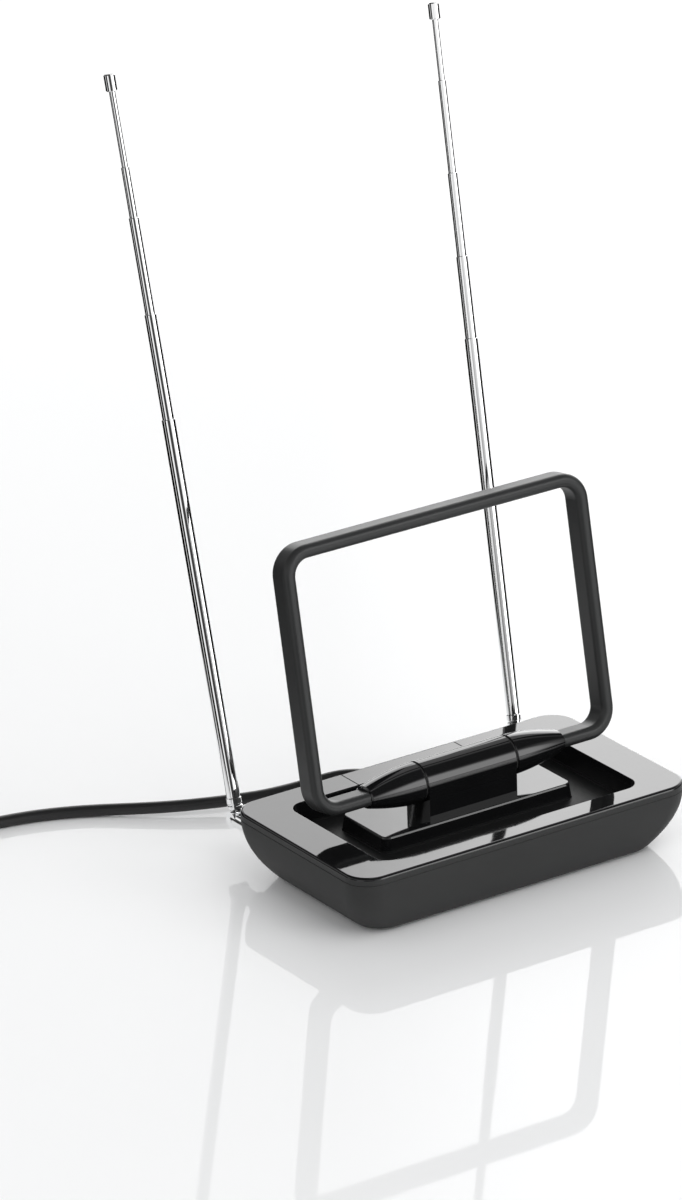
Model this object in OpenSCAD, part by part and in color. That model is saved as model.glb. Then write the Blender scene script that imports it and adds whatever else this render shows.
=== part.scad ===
// Table-top television aerial: a ballasted base, a tilting loop on a barrel hinge
// and two telescopic rods on swivel arms. Millimetres, +Z up.
// The origin is the middle of the resting plane under the feet, the front faces -Y.

/* [Base] */
// Length of the base along X
base_w = 195; // [170:1:230]
// Depth of the base along Y
base_d = 113; // [100:1:140]
// Height of the glossy top face above the table
base_h = 35.5; // [32:0.5:42]
// Length of the flat underside along X
sole_w = 167; // [140:1:168]
// Depth of the flat underside along Y
sole_d = 91; // [80:1:94]
// Height of the band under the top face
band_h = 4; // [3.5:0.25:5]
// Corner radius of the base seen from above
corner_r = 13.5; // [10:0.5:18]
// Radius of the rounded top edge
edge_r = 1.5; // [1:0.25:2]
// Wall thickness of the mouldings
wall = 2.2; // [1.8:0.1:2.6]

/* [Basin] */
// Length of the sunken basin along X
basin_w = 151; // [146:1:156]
// Width of the front rim, from the front edge to the basin
rim_front = 13; // [11:0.5:16]
// Width of the rear rim, from the rear edge to the basin
rim_rear = 16.5; // [15:0.5:19]
// Depth of the basin below the top face
basin_depth = 11.5; // [9:0.5:13]
// Corner radius of the basin
basin_r = 8; // [6:0.5:10]
// Length of the raised island in the basin
island_w = 110; // [100:1:116]
// Depth of the island's top, front to back
island_d = 38; // [30:1:42]
// Drop from the top face to the island's top
island_drop = 3.5; // [2:0.5:5]
// Length of the flush panel in the rear rim
panel_w = 66; // [54:1:76]
// Thickness of the flush panel
panel_t = 2; // [1.6:0.1:2.4]

/* [Loop] */
// Width of the loop between the middles of its side bars
loop_w = 170; // [150:1:180]
// Height of the loop from the hinge axis to the middle of its top bar
loop_h = 127; // [100:1:150]
// Thickness of the loop's bar in the plane of the loop
bar_t = 6.8; // [6.4:0.2:8]
// Depth of the loop's bar across the plane of the loop
bar_d = 13.4; // [11:0.2:13.6]
// Rounding of the bar's long edges
bar_r = 2.8; // [2:0.2:3.1]
// Corner radius of the loop, at the middle of the bar
loop_r = 11.5; // [10:0.5:20]
// Backward lean of the loop at rest, in degrees
loop_lean = 10; // [0:1:20]

/* [Barrel hinge] */
// Height of the hinge axis above the top face
axis_rise = 13.5; // [13:0.5:18]
// Distance of the hinge axis in front of the middle
axis_fwd = 0; // [0:0.5:6]
// Radius of the barrel's middle sleeve
sleeve_r = 10.2; // [9:0.1:11]
// Length of the middle sleeve
sleeve_w = 52; // [44:1:60]
// Length of each end cone
cone_l = 30; // [24:1:32]
// Height of the oval mouth of each end cone
mouth_h = 10.8; // [9.6:0.2:12]
// Depth of the oval mouth of each end cone
mouth_d = 15.6; // [14.8:0.2:17]
// Radius of the hinge axle
axle_r = 3; // [2:0.25:4]
// Thickness of the friction washers between sleeve and cones
washer_t = 0.9; // [0.6:0.1:1.2]

/* [Rods] */
// Distance of each rod's pivot from the end of the base, along X
rod_inset = 14.5; // [13.5:0.5:18]
// Distance of the pivots behind the middle, along Y
rod_y = 73; // [68:1:80]
// Height of the pivots above the table
rod_z = 19.5; // [18:0.5:21]
// Outer diameter of the lowest tube
tube_d = 6.8; // [6.2:0.1:7.2]
// Step in diameter from one section to the next
tube_step = 0.92; // [0.85:0.01:1]
// Length of the lowest tube
tube_l = 188.5; // [150:0.5:220]
// Visible length of the second section of the left rod
show_2_left = 51.7; // [10:0.1:170]
// Visible length of the third section of the left rod
show_3_left = 47.3; // [10:0.1:170]
// Visible length of the fourth section of the left rod
show_4_left = 24.7; // [10:0.1:170]
// Visible length of the fifth section of the left rod
show_5_left = 36.9; // [10:0.1:170]
// Visible length of the second section of the right rod
show_2_right = 41; // [10:0.1:170]
// Visible length of the third section of the right rod
show_3_right = 41.6; // [10:0.1:170]
// Visible length of the fourth section of the right rod
show_4_right = 46.1; // [10:0.1:170]
// Visible length of the fifth section of the right rod
show_5_right = 30.1; // [10:0.1:170]
// Height of the collar under the lowest tube
collar_h = 6.4; // [5:0.2:9]
// Diameter of the end cap
cap_d = 5.8; // [5:0.1:6.5]
// Length of the end cap
cap_l = 8.4; // [6:0.2:10]
// Length of each section that shows when it is pushed in
nest_step = 2; // [1.5:0.25:3]
// Backward lean of the left rod at rest, in degrees
lean_left = 14; // [0:1:30]
// Backward lean of the right rod at rest, in degrees
lean_right = 18; // [0:1:30]
// Outward swing of the right rod at rest, in degrees
swing_right = 6.3; // [0:0.1:12]

/* [Swivel arms] */
// Radius of the swivel stud
stud_r = 3.6; // [3:0.1:4]
// Radius of the clevis round the tilt pin
clevis_r = 4.2; // [4:0.1:4.6]
// Thickness of the tongue in the clevis
tongue_t = 3; // [2.4:0.1:3.4]
// Radius of the tilt pin
pin_r = 1.25; // [1:0.05:1.5]

/* [Feet and weights] */
// Radius of the rubber feet
foot_r = 5.4; // [4.5:0.1:7]
// Height that the feet stand proud of the underside
foot_h = 1.5; // [1:0.25:2.5]
// Distance of the feet from the middle, along X
foot_x = 69; // [60:1:70]
// Distance of the feet from the middle, along Y
foot_y = 37; // [30:1:38]
// Thickness of the steel weights
weight_t = 8; // [4:0.5:9]
// Length of the steel weights, front to back
weight_d = 66; // [40:1:66]

/* [Lead] */
// Diameter of the lead
lead_d = 6; // [5.4:0.1:6.4]
// Radius of the coil at the middle of its turns
coil_r = 33; // [31:0.5:35]
// Radius of the plug's metal barrel
plug_r = 4.75; // [4.7:0.01:4.8]

/* [Hidden] */
$fn = 48;

// Fits
run_gap = 0.06;
seat_gap = 0.1;
eps = 0.01;

// Heights of the housing
seam_z = base_h - band_h;
sole_z = foot_h;
floor_z = sole_z + wall;
basin_z = base_h - basin_depth;
under_basin_z = basin_z - wall;
island_z = base_h - island_drop;

// Basin outline, off the middle because the rear rim is wider
basin_d = base_d - rim_front - rim_rear;
basin_y = (rim_front - rim_rear) / 2;
draft = 3;

// Hinge axis
axis_y = -axis_fwd;
axis_z = base_h + axis_rise;
island_y = axis_y + 4.5;
cone_x = sleeve_w / 2 + washer_t;
neck_d = 2 * sleeve_r - 0.4;
edge = 0.4;
axle_in = 14;
peg_r = 3.3;
peg_l = 11.5;

// Visible length of sections 2 to 5 at rest, on each side
show_left = [show_2_left, show_3_left, show_4_left, show_5_left];
show_right = [show_2_right, show_3_right, show_4_right, show_5_right];
rod_x = base_w / 2 - rod_inset;
collar_s = clevis_r + 0.3;
tube_s = collar_s + collar_h;
inner_l = tube_l - nest_step - 0.5;

// Circuit board
board_w = 60;
board_d = 36;
board_t = 1.6;
board_z = floor_z + 5;
post_x = 24;
can_w = 18;
can_d = 26;
can_h = 6;
can_t = 0.4;

// Steel weights
weight_x = 49;
weight_w = 32;

// Swivel arm, along Y
wall_y = half_d(skin_t(rod_z));
boss_r = 6;
boss_in = 12;
boss_out = 1.6;
flange_t = 2;
nut_t = 3;

// Lead: route of its middle, from the gland to the coil
gland_x = 6;
gland_z = 14;
gland_r = 4.9;
gland_y = half_d(skin_t(gland_z)) + 3;
ROUTE = [[6, 79, 14], [6, 85.5, 14], [3.5, 92, 13.6], [-2, 97.5, 12.7], [-10, 102, 11.3],
         [-19, 105, 9.8], [-29, 108, 8.3], [-41, 112, 7], [-53, 117, 6.3], [-66, 123.5, 5.6],
         [-80, 131.5, 4.8], [-92, 139.5, 4.2], [-103, 148, 3.6], [-114, 156, 3.15], [-126, 162.5, 3.05],
         [-138, 167.5, 3.05], [-149, 170.7, 3.05], [-160, 173, 3.05], [-172, 174.8, 3.05],
         [-184, 175.8, 3.05], [-196, 176, 3.05]];
coil_c = [-208, 215];
coil_wide = 3;
coil_high = 2;

// Height of the housing at a fraction t of the way down from seam to sole
function skin_z(t) = seam_z - t * (seam_z - sole_z);
// Half length and half depth of the housing at that fraction
function half_w(t) = base_w / 2 - (base_w - sole_w) / 2 * pow(max(t, 0), 2.3);
function half_d(t) = base_d / 2 - (base_d - sole_d) / 2 * pow(max(t, 0), 1.6);
function skin_t(z) = (seam_z - z) / (seam_z - sole_z);

// Point on a smooth curve through the route, at u from 0 to its last index
function spline(p, u) =
    let (n = len(p) - 1, i = min(floor(u), n - 1), f = u - i,
         a = p[max(i - 1, 0)], b = p[i], c = p[i + 1], d = p[min(i + 2, n)])
    0.5 * (2 * b + (c - a) * f + (2 * a - 5 * b + 4 * c - d) * f * f
           + (3 * b - a - 3 * c + d) * f * f * f);
function unit(v) = v / norm(v);

// Rounded rectangle of arcs and straight sides
module plate(w, d, r) {
    square([w - 2 * r, d], center = true);
    square([w, d - 2 * r], center = true);
    for (sx = [-1, 1], sy = [-1, 1])
        translate([sx * (w / 2 - r), sy * (d / 2 - r)])
            circle(r = r);
}

// Thin slice of a rounded rectangle, for lofts
module slice(w, d, r, z) {
    translate([0, 0, z])
        linear_extrude(eps)
            plate(w, d, r, $fn = 48);
}

// Outer form of the lower housing, drawn in by inset
module hull_form(inset, z_low, z_high) {
    hull() {
        for (k = [0:7])
            let (z = z_high - (z_high - z_low) * k / 7, t = skin_t(z))
            slice(2 * (half_w(t) - inset), 2 * (half_d(t) - inset), corner_r - inset * 0.6,
                  z - (k == 0 ? eps : 0));
    }
}

// Outer form of the top cover with its rounded edge
module cover_form() {
    hull() {
        slice(base_w, base_d, corner_r, seam_z);
        for (a = [0:22.5:90])
            let (in = edge_r * (1 - cos(a)))
            slice(base_w - 2 * in, base_d - 2 * in, corner_r - in,
                  base_h - edge_r - eps + edge_r * sin(a));
    }
}

// Basin void, grown by g and reaching down to z
module basin_form(g, z) {
    translate([0, basin_y, 0])
        hull() {
            slice(basin_w + 2 * g, basin_d + 2 * g, basin_r + g, base_h - (g > 0 ? wall : 0.9));
            slice(basin_w - draft + 2 * g, basin_d - draft + 2 * g, basin_r + g, z);
        }
}

// Bevelled lip round the mouth of the basin
module basin_lip() {
    translate([0, basin_y, 0])
        hull() {
            slice(basin_w, basin_d, basin_r, base_h - 0.91);
            slice(basin_w + 1.4, basin_d + 1.4, basin_r + 0.7, base_h + eps);
        }
}

// Island in the basin, with slightly sloping sides, from its top down to z
module island_form(z) {
    translate([0, island_y, 0])
        hull() {
            slice(island_w - 1.2, island_d - 1.2, 2.4, island_z - eps);
            slice(island_w, island_d, 3, island_z - 0.7);
            slice(island_w + 2, island_d + 2, 4, z);
        }
}

// Places of the four case screws and feet
module at_feet() {
    for (sx = [-1, 1], sy = [-1, 1])
        translate([sx * foot_x, sy * foot_y, 0])
            children();
}

// Lower housing: a hull with curved ends, bosses and seats for the arms
module bottom_shell() {
    color("#3c3d3d")
    difference() {
        union() {
            difference() {
                hull_form(0, sole_z, seam_z);
                hull_form(wall, floor_z, seam_z + 1);
            }
            // Screw posts that meet the posts of the cover
            at_feet()
                translate([0, 0, sole_z + eps])
                    cylinder(r = 4, h = under_basin_z - 6 - sole_z);
            // Seats of the two swivel studs
            for (s = [-1, 1])
                translate([s * rod_x, wall_y + boss_out, rod_z])
                    rotate([90, 0, 0])
                        cylinder(r = boss_r, h = boss_in + boss_out);
            // Seat of the lead's gland
            translate([gland_x, gland_y, gland_z])
                rotate([90, 0, 0])
                    cylinder(r = 7.2, h = 6.5);
            // Posts under the circuit board
            for (x = [-post_x, post_x])
                translate([x, axis_y, floor_z - eps])
                    cylinder(r = 3, h = board_z - floor_z + eps);
            // Ribs that locate the steel weights
            for (s = [-1, 1], y = [-1, 1])
                translate([s * weight_x - 10, y * (weight_d / 2 + 1) - 0.9, floor_z - eps])
                    cube([20, 1.8, 5]);
        }
        // Screw bores with head recesses, under the feet
        at_feet() {
            cylinder(r = 1.7, h = base_h);
            translate([0, 0, sole_z - 1])
                cylinder(r = 3.2, h = 5);
            translate([0, 0, sole_z - 1])
                cylinder(r = foot_r + seat_gap, h = 1.8);
        }
        for (s = [-1, 1])
            translate([s * rod_x, wall_y + 10, rod_z])
                rotate([90, 0, 0])
                    cylinder(r = stud_r + run_gap, h = boss_in + 12);
        // Hole of the lead's gland
        translate([gland_x, gland_y + 10, gland_z])
            rotate([90, 0, 0])
                cylinder(r = gland_r + 0.02, h = 20);
        // Board posts take short screws
        for (x = [-post_x, post_x])
            translate([x, axis_y, floor_z + 1])
                cylinder(r = 0.9, h = board_z);
    }
}

// Glossy cover: rim, band, sunken basin and island in one moulding
module top_cover() {
    color("#17181a")
    difference() {
        union() {
            difference() {
                cover_form();
                translate([0, 0, seam_z - 1])
                    linear_extrude(band_h + 1 - wall)
                        plate(base_w - 2 * wall, base_d - 2 * wall, corner_r - wall);
            }
            basin_form(wall, under_basin_z);
            // Tongue that drops inside the lower housing
            translate([0, 0, seam_z - 2])
                linear_extrude(band_h)
                    difference() {
                        plate(base_w - 2 * wall - 1, base_d - 2 * wall - 1, corner_r - wall);
                        plate(base_w - 4 * wall, base_d - 4 * wall, corner_r - 2 * wall);
                    }
            // Bed under the flush panel
            translate([-panel_w / 2 - 3, base_d / 2 - rim_rear, seam_z - 1])
                cube([panel_w + 6, rim_rear - wall - 1, band_h - 1]);
            at_feet()
                translate([0, 0, under_basin_z - 6 + seat_gap])
                    cylinder(r = 4, h = 6);
        }
        difference() {
            union() {
                basin_form(0, basin_z);
                basin_lip();
            }
            island_form(basin_z - 1);
        }
        // Hollow under the island
        translate([-island_w / 2 + 5, island_y - island_d / 2 + 5, under_basin_z - 1])
            cube([island_w - 10, island_d - 10, island_z - wall - under_basin_z + 1]);
        // Flush seat of the rear panel
        translate([-panel_w / 2 - 0.4, base_d / 2 - rim_rear - 1, base_h - panel_t])
            cube([panel_w + 0.8, rim_rear + 2, panel_t + 1]);
        // Screw pilots from below
        at_feet()
            translate([0, 0, under_basin_z - 7])
                cylinder(r = 1.25, h = 7);
        // Screws that hold the saddle
        for (x = [-16, 16])
            translate([x, axis_y, under_basin_z])
                cylinder(r = 1.6, h = base_h);
    }
}

// Flush panel set into the rear rim
module rear_panel() {
    color("#1b1c1e")
    intersection() {
        cover_form();
        translate([-panel_w / 2, base_d / 2 - rim_rear + 0.2, base_h - panel_t])
            cube([panel_w, rim_rear + 1, panel_t + 1]);
    }
}

// Saddle: the barrel's middle sleeve on its neck
module hinge_saddle() {
    color("#17181a")
    difference() {
        union() {
            translate([-sleeve_w / 2, axis_y, axis_z])
                rotate([0, 90, 0])
                    rotate_extrude($fn = 64)
                        polygon([[0, 0], [sleeve_r - edge, 0], [sleeve_r, edge], [sleeve_r, sleeve_w - edge],
                                 [sleeve_r - edge, sleeve_w], [0, sleeve_w]]);
            translate([-sleeve_w / 2 + edge, axis_y - neck_d / 2, island_z])
                cube([sleeve_w - 2 * edge, neck_d, axis_z - island_z]);
        }
        translate([-sleeve_w / 2 - 1, axis_y, axis_z])
            rotate([0, 90, 0])
                cylinder(r = axle_r + run_gap, h = sleeve_w + 2);
        for (x = [-16, 16])
            translate([x, axis_y, island_z - 1])
                cylinder(r = 1.25, h = 9);
    }
}

// Two screws up through the island into the saddle
module saddle_screws() {
    color("silver")
    for (x = [-16, 16])
        translate([x, axis_y, island_z - wall]) {
            translate([0, 0, -2])
                cylinder(r = 2.8, h = 2);
            translate([0, 0, -eps])
                cylinder(r = 1.2, h = wall + 7);
        }
}

// Moves what follows to the hinge axis, leaning with the loop
module on_hinge() {
    translate([0, axis_y, axis_z])
        rotate([-loop_lean, 0, 0])
            children();
}

// Axle that runs through the sleeve and is fixed in both cones
module hinge_axle() {
    color("silver")
    on_hinge()
        translate([-cone_x - axle_in, 0, 0])
            rotate([0, 90, 0])
                cylinder(r = axle_r, h = 2 * (cone_x + axle_in));
}

// Bullet-shaped end cone, round at the sleeve and oval at its mouth, pointing along +X
module cone_piece() {
    difference() {
        rotate([0, 90, 0])
            hull()
                for (k = [0:8])
                    let (t = k / 8, high = blend_to(mouth_h / 2, t), deep = blend_to(mouth_d / 2, t))
                    translate([0, 0, t * (cone_l - eps)])
                        linear_extrude(eps)
                            scale([k == 0 ? high - edge : high, k == 0 ? deep - edge : deep])
                                circle(r = 1);
        translate([-1, 0, 0])
            rotate([0, 90, 0])
                cylinder(r = axle_r + 0.01, h = axle_in + 1.5);
        translate([cone_l - peg_l - 0.5, 0, 0])
            rotate([0, 90, 0])
                cylinder(r = peg_r + 0.02, h = peg_l + 1);
    }
}

// Half size of the cone at a fraction t of its length, from the sleeve's to its mouth's
function blend_to(end, t) = sleeve_r + (end - sleeve_r) * pow(t, 1.8);

module cone_right() {
    color("#17181a")
    on_hinge()
        translate([cone_x, 0, 0])
            cone_piece();
}

module cone_left() {
    color("#17181a")
    on_hinge()
        mirror([1, 0, 0])
            translate([cone_x, 0, 0])
                cone_piece();
}

// Friction washer between the sleeve and a cone
module washer_piece() {
    rotate([0, 90, 0])
        difference() {
            cylinder(r = sleeve_r - 0.6, h = washer_t - 0.04);
            translate([0, 0, -1])
                cylinder(r = axle_r + 0.02, h = washer_t + 2);
        }
}

module washer_right() {
    color("#0c0c0c")
    on_hinge()
        translate([sleeve_w / 2 + 0.04, 0, 0])
            washer_piece();
}

module washer_left() {
    color("#0c0c0c")
    on_hinge()
        mirror([1, 0, 0])
            translate([sleeve_w / 2 + 0.04, 0, 0])
                washer_piece();
}

// Section of the loop's bar
module bar_section() {
    plate(bar_t, bar_d, bar_r);
}

// Rounded corner of the bar, turning from the first to the second side
module bar_corner() {
    rotate_extrude(angle = 90, $fn = 96)
        translate([loop_r, 0])
            bar_section();
}

// Loop: a rounded frame whose lower bar ends in the two cones
module loop_bar() {
    half = loop_w / 2;
    stub_x = cone_x + cone_l;
    low_l = half - loop_r - stub_x;
    side_l = loop_h - 2 * loop_r;
    color("#2d2f30")
    on_hinge()
        rotate([90, 0, 0]) {
            for (s = [0, 180])
                rotate([0, s, 0]) {
                    // Lower stub and its round peg in the cone
                    translate([stub_x, 0, 0])
                        rotate([0, 90, 0])
                            linear_extrude(low_l)
                                rotate(90)
                                    bar_section();
                    translate([stub_x - peg_l, 0, 0])
                        rotate([0, 90, 0])
                            cylinder(r = peg_r, h = peg_l);
                    translate([half - loop_r, loop_r, 0])
                        rotate([0, 0, -90])
                            bar_corner();
                    translate([half, loop_r, 0])
                        rotate([-90, 0, 0])
                            linear_extrude(side_l)
                                bar_section();
                    translate([half - loop_r, loop_h - loop_r, 0])
                        bar_corner();
                }
            translate([-(half - loop_r), loop_h, 0])
                rotate([0, 90, 0])
                    linear_extrude(2 * (half - loop_r))
                        rotate(90)
                            bar_section();
        }
}

// Circuit board with the matching network, on two posts
module circuit_board() {
    color("#1f5a35")
    translate([0, axis_y, board_z])
        difference() {
            translate([-board_w / 2, -board_d / 2, 0])
                cube([board_w, board_d, board_t]);
            for (x = [-post_x, post_x])
                translate([x, 0, -1])
                    cylinder(r = 1.2, h = board_t + 2);
        }
}

module shield_can() {
    color("silver")
    translate([-2, axis_y - 13, board_z + board_t])
        difference() {
            cube([can_w, can_d, can_h]);
            translate([can_t, can_t, -1])
                cube([can_w - 2 * can_t, can_d - 2 * can_t, can_h + 1 - can_t]);
        }
}

module balun_core() {
    color("#26262a")
    translate([-12, axis_y, board_z + board_t])
        rotate_extrude()
            translate([3, 0])
                square([2.6, 3]);
}

// Steel weight between two ribs
module weight_piece() {
    translate([weight_x, 0, floor_z])
        linear_extrude(weight_t)
            difference() {
                plate(weight_w, weight_d, 3);
                circle(r = 4);
            }
}

module weight_right() {
    color("#8a8d90")
    weight_piece();
}

module weight_left() {
    color("#8a8d90")
    mirror([1, 0, 0])
        weight_piece();
}

module feet() {
    color("#141414")
    at_feet()
        rotate_extrude()
            polygon([[0, 0], [foot_r - 0.6, 0], [foot_r, 0.6], [foot_r, sole_z + 0.75], [0, sole_z + 0.75]]);
}

module case_screws() {
    color("silver")
    at_feet()
        translate([0, 0, sole_z + 2]) {
            cylinder(r = 2.8, h = 1.9);
            cylinder(r = 1.2, h = under_basin_z - 4 - sole_z);
        }
}

// Swivel stud along +Y, its axis through the pivot, seen at zero swing
module stud_piece() {
    back = rod_y - wall_y;
    difference() {
        union() {
            // Shaft through the seat in the housing
            translate([0, wall_y + boss_out + 1 - rod_y, 0])
                rotate([90, 0, 0])
                    cylinder(r = stud_r, h = boss_in + boss_out + nut_t + 2);
            // Flange against the seat
            translate([0, wall_y + boss_out + seat_gap + flange_t - rod_y, 0])
                rotate([90, 0, 0])
                    cylinder(r = 5, h = flange_t);
            // Arm out to the clevis
            rotate([90, 0, 0])
                cylinder(r = clevis_r, h = back - boss_out - seat_gap - 1);
            translate([-clevis_r + 0.4, 0, 0])
                rotate([0, 90, 0])
                    cylinder(r = clevis_r, h = 2 * clevis_r - 0.8);
        }
        // Slot for the tongue
        translate([-tongue_t / 2 - seat_gap, -clevis_r - 0.4, -clevis_r - 1])
            cube([tongue_t + 2 * seat_gap, 2 * clevis_r + 2, 2 * clevis_r + 2]);
        // Bore of the tilt pin
        translate([-clevis_r - 1, 0, 0])
            rotate([0, 90, 0])
                cylinder(r = pin_r + 0.01, h = 2 * clevis_r + 2, $fn = 32);
    }
}

// Hexagonal nut that holds the stud against its seat, inside the housing
module nut_piece() {
    translate([0, wall_y - boss_in - seat_gap - rod_y, 0])
        rotate([90, 0, 0])
            difference() {
                cylinder(r = 5.4, h = nut_t, $fn = 6);
                translate([0, 0, -1])
                    cylinder(r = stud_r + 0.01, h = nut_t + 2);
            }
}

// Foot of a rod: tongue and grooved collar, with its spigot in the lowest tube
module foot_piece() {
    difference() {
        union() {
            translate([-tongue_t / 2, 0, 0])
                rotate([0, 90, 0])
                    cylinder(r = clevis_r - 0.5, h = tongue_t);
            translate([-tongue_t / 2, -2.6, 0])
                cube([tongue_t, 5.2, collar_s + 0.5]);
            rotate_extrude()
                polygon([[0, collar_s], [2.8, collar_s], [tube_d / 2 + 0.35, collar_s + 0.8],
                         [tube_d / 2 + 0.35, collar_s + 2.2], [tube_d / 2 - 0.1, collar_s + 2.6],
                         [tube_d / 2 - 0.1, collar_s + 3.1], [tube_d / 2 + 0.35, collar_s + 3.5],
                         [tube_d / 2 + 0.35, tube_s - 0.4], [tube_d / 2, tube_s],
                         [0, tube_s]]);
            translate([0, 0, collar_s + 0.5])
                cylinder(r = bore_r(1) - 0.02, h = collar_h + 2);
        }
        translate([-tongue_t, 0, 0])
            rotate([0, 90, 0])
                cylinder(r = pin_r + run_gap, h = 2 * tongue_t, $fn = 32);
    }
}

// Outer and inner radius of section i, counted from 1
function out_r(i) = (tube_d - (i - 1) * tube_step) / 2;
function bore_r(i) = out_r(i + 1) + run_gap;

// Height of the top of section i above the pivot
function top_s(show, i) = tube_s + tube_l + (i < 2 ? 0 : sum_to(show, i - 2));
function sum_to(v, i) = i < 0 ? 0 : v[i] + sum_to(v, i - 1);

// Hollow section i with an eased mouth; the thinnest is solid
module tube_piece(show, i) {
    l = i == 1 ? tube_l : inner_l;
    ease = 0.25;
    translate([0, 0, top_s(show, i) - l])
        rotate_extrude($fn = 40)
            if (i < 5)
                polygon([[bore_r(i), 0], [out_r(i), 0], [out_r(i), l - ease],
                         [out_r(i) - ease, l], [bore_r(i), l]]);
            else
                polygon([[0, 0], [out_r(i), 0], [out_r(i), l], [0, l]]);
}

// End cap, sleeved over the top of the thinnest section
module cap_piece(show) {
    translate([0, 0, top_s(show, 5)])
        rotate_extrude($fn = 40)
            polygon([[0, 0], [cap_d / 2 - 0.4, 0], [cap_d / 2, 0.4], [cap_d / 2, cap_l - 0.6],
                     [cap_d / 2 - 0.6, cap_l], [0, cap_l]]);
}

// Places the pieces of one rod: swing about the arm, then lean about the pin
module at_pivot(side, swing) {
    translate([side * rod_x, rod_y, rod_z])
        rotate([0, side * swing, 0])
            children();
}
module on_rod(side, swing, lean) {
    at_pivot(side, swing)
        rotate([-lean, 0, 0])
            children();
}

module tilt_pin_piece() {
    translate([-clevis_r - 0.2, 0, 0])
        rotate([0, 90, 0])
            cylinder(r = pin_r, h = 2 * clevis_r + 0.4, $fn = 32);
}

module stud_left() { color("silver") at_pivot(-1, 0) stud_piece(); }
module nut_left() { color("silver") at_pivot(-1, 0) nut_piece(); }
module tilt_pin_left() { color("silver") at_pivot(-1, 0) tilt_pin_piece(); }
module foot_left() { color("silver") on_rod(-1, 0, lean_left) foot_piece(); }
module tube_left(i) { color("silver") on_rod(-1, 0, lean_left) tube_piece(show_left, i); }
module cap_left() { color("silver") on_rod(-1, 0, lean_left) cap_piece(show_left); }
module stud_right() { color("silver") at_pivot(1, swing_right) stud_piece(); }
module nut_right() { color("silver") at_pivot(1, swing_right) nut_piece(); }
module tilt_pin_right() { color("silver") at_pivot(1, swing_right) tilt_pin_piece(); }
module foot_right() { color("silver") on_rod(1, swing_right, lean_right) foot_piece(); }
module tube_right(i) { color("silver") on_rod(1, swing_right, lean_right) tube_piece(show_right, i); }
module cap_right() { color("silver") on_rod(1, swing_right, lean_right) cap_piece(show_right); }

// Rubber gland with its tapered tail, pressed into the rear wall
module lead_gland() {
    tail = ROUTE[0][1] - gland_y;
    color("#161616")
    translate([gland_x, ROUTE[0][1], gland_z])
        rotate([90, 0, 0])
            rotate_extrude()
                polygon([[0, 0], [lead_d / 2 + 0.6, 0], [4.8, tail - 1.6], [6.4, tail - 1.4],
                         [6.4, tail], [gland_r, tail], [gland_r, tail + 5.5], [0, tail + 5.5]]);
}

// Lead from the gland to the coil, swept along its route
module lead() {
    sides = 8;
    rings = 50;
    last = len(ROUTE) - 1;
    at = [for (k = [0:rings]) spline(ROUTE, last * k / rings)];
    dir = [for (k = [0:rings]) unit(at[min(k + 1, rings)] - at[max(k - 1, 0)])];
    points = [for (k = [0:rings])
                 let (t = k == 0 ? [0, 1, 0] : dir[k], n = unit(cross(t, [0, 0, 1])), b = cross(n, t))
                 for (s = [0:sides - 1])
                     at[k] + lead_d / 2 * (cos(360 * s / sides) * n + sin(360 * s / sides) * b)];
    skin = [for (k = [0:rings - 1], s = [0:sides - 1])
               [k * sides + s, k * sides + (s + 1) % sides,
                (k + 1) * sides + (s + 1) % sides, (k + 1) * sides + s]];
    color("#161616")
    polyhedron(points, concat(skin,
        [[for (s = [sides - 1:-1:0]) s]], [[for (s = [0:sides - 1]) rings * sides + s]]), 8);
}

// Coil of the lead that is put away
module lead_coil() {
    w = coil_wide * lead_d;
    h = coil_high * lead_d;
    color("#161616")
    translate([coil_c[0], coil_c[1], 0])
        rotate_extrude($fn = 64)
            translate([coil_r, h / 2])
                plate(w, h, lead_d / 2 - 0.01, $fn = 24);
}

// Plug at the end of the lead, lying beside the coil and pointing along +X
module at_plug() {
    translate([coil_c[0] - 16, coil_c[1] + coil_r + coil_wide * lead_d / 2 + 5.6, 5.6])
        rotate([0, 90, 0])
            children();
}

module plug_grip() {
    color("#161616")
    at_plug()
        rotate_extrude()
            polygon([[0, 0], [lead_d / 2 + 0.4, 0], [lead_d / 2 + 0.8, 4], [5.5, 8], [5.5, 24], [5, 24.6], [0, 24.6]]);
}

module plug_barrel() {
    color("silver")
    at_plug()
        translate([0, 0, 24.6])
            difference() {
                cylinder(r = plug_r, h = 11);
                translate([0, 0, 1])
                    cylinder(r = plug_r - 0.6, h = 11);
            }
}

module plug_pin() {
    color("gold")
    at_plug()
        translate([0, 0, 25.6])
            rotate_extrude($fn = 24)
                polygon([[0, 0], [1.2, 0], [1.2, 9], [0.5, 9.8], [0, 9.8]]);
}

bottom_shell();
top_cover();
rear_panel();
hinge_saddle();
saddle_screws();
hinge_axle();
cone_left();
cone_right();
washer_left();
washer_right();
loop_bar();
circuit_board();
shield_can();
balun_core();
weight_left();
weight_right();
feet();
case_screws();
stud_left();
nut_left();
tilt_pin_left();
foot_left();
tube_left(1);  // tube_1_left
tube_left(2);  // tube_2_left
tube_left(3);  // tube_3_left
tube_left(4);  // tube_4_left
tube_left(5);  // tube_5_left
cap_left();
stud_right();
nut_right();
tilt_pin_right();
foot_right();
tube_right(1);  // tube_1_right
tube_right(2);  // tube_2_right
tube_right(3);  // tube_3_right
tube_right(4);  // tube_4_right
tube_right(5);  // tube_5_right
cap_right();
lead_gland();
lead();
lead_coil();
plug_grip();
plug_barrel();
plug_pin();
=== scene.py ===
# Television aerial on a glossy white table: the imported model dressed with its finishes,
# its lead, and the studio that the picture was taken in. Metres, +Z up.
import math

import bpy
from mathutils import Matrix, Vector


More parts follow.
